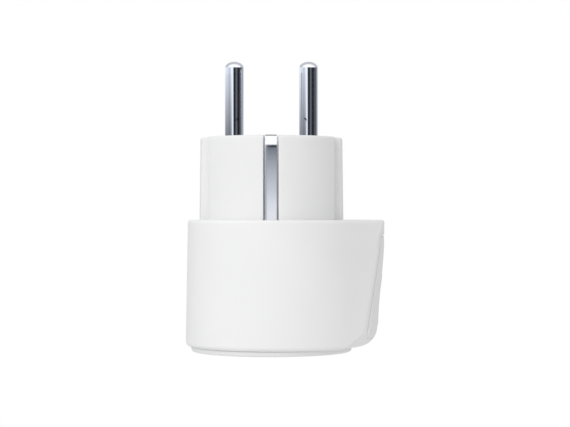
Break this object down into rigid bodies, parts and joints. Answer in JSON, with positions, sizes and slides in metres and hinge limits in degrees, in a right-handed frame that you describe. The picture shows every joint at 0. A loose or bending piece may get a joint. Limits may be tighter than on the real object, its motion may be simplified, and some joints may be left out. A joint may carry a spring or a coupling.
{
  "type": "plug in power meter",
  "caption": "Compact white plug-in power meter: earthed round-pin plug, drum housing with a slanted push-button end, and an earthed socket face.",
  "frame": {"origin": "centre of the socket mouth, in the plane of the rim that the object stands on", "axes": "+Z along the plug pins, away from the socket; +X towards the slanted end with the button; the pins lie side by side along X"},
  "size_m": [0.0507, 0.0438, 0.074],
  "materials": {
    "white_shell": "satin white moulded plastic",
    "white_nose": "satin white moulded plastic",
    "white_socket": "satin white moulded plastic",
    "panel": "satin white moulded plastic",
    "button": "satin white moulded plastic",
    "pin_metal": "nickel plated brass",
    "earth_metal": "nickel plated spring strip",
    "contact_metal": "tinned brass",
    "clear": "clear light guide",
    "inner_plastic": "glass filled nylon",
    "shutter_plastic": "white acetal",
    "board": "green solder mask",
    "chip": "black epoxy",
    "relay_case": "dark blue moulded plastic",
    "copper_winding": "enamelled copper wire",
    "iron": "plated iron",
    "steel": "zinc plated steel",
    "can": "sleeved aluminium can",
    "film": "yellow boxed film",
    "varistor": "blue epoxy coat",
    "resistor": "cement coated",
    "ferrite": "ferrite",
    "shield": "tinned steel",
    "wire": "insulated wire"
  },
  "bodies": {
    "housing": {"housing_shell": "white_shell", "plug_nose": "white_nose", "socket_face": "white_socket", "socket_floor": "white_socket", "side_panel": "panel", "led_lens": "clear", "pin_live": "pin_metal", "pin_neutral": "pin_metal", "pin_plate": "inner_plastic", "assembly_screws": "steel", "earth_sleeve": "contact_metal", "earth_strip_front": "earth_metal", "earth_strip_back": "earth_metal", "earth_clip_front": "earth_metal", "earth_clip_back": "earth_metal", "earth_bridge": "contact_metal", "live_contact": "contact_metal", "neutral_contact": "contact_metal", "shutter_spring": "steel", "shutter_cover": "inner_plastic", "main_board": "board", "relay_base": "chip", "relay_cover": "relay_case", "relay_coil": "copper_winding", "relay_yoke": "iron", "relay_fixed_contact": "contact_metal", "current_shunt": "contact_metal", "metering_chip": "chip", "input_capacitor": "can", "output_capacitor": "can", "film_capacitor": "film", "varistor": "varistor", "fusible_resistor": "resistor", "power_inductor": "ferrite", "bridge_rectifier": "chip", "radio_board": "board", "radio_shield": "shield", "button_board": "board", "switch_body": "chip", "status_led": "clear", "board_wires": "wire", "live_busbar": "contact_metal", "neutral_busbar": "contact_metal", "switched_busbar": "contact_metal"},
    "button": {"button_cap": "button"},
    "switch_plunger": {"switch_plunger": "shutter_plastic"},
    "shutter": {"shutter": "shutter_plastic"},
    "relay_armature": {"relay_armature": "iron", "relay_moving_blade": "contact_metal"}
  },
  "joints": [
    {"name": "button_press", "type": "slide", "parent": "housing", "child": "button", "axis": [-0.9962, 0, 0.0872], "range_m": [0, 0.0005], "stiffness_N_per_m": 1500, "springref_m": -0.0006},
    {"name": "plunger_travel", "type": "slide", "parent": "housing", "child": "switch_plunger", "axis": [-0.9962, 0, 0.0872], "range_m": [0, 0.0005]},
    {"name": "shutter_turn", "type": "hinge", "parent": "housing", "child": "shutter", "pos_m": [0, 0, 0.0204], "axis": [0, 0, 1], "range_deg": [0, 37], "stiffness_Nm_per_rad": 0.002, "springref_deg": -17.19},
    {"name": "relay_tilt", "type": "hinge", "parent": "housing", "child": "relay_armature", "pos_m": [0.00385, 0.0096, 0.0268], "axis": [0, -1, 0], "range_deg": [0, 3.6], "stiffness_Nm_per_rad": 0.02, "springref_deg": -5.73}
  ],
  "couplings": [
    {"joint": "plunger_travel", "follows": "button_press", "ratio": 1}
  ]
}
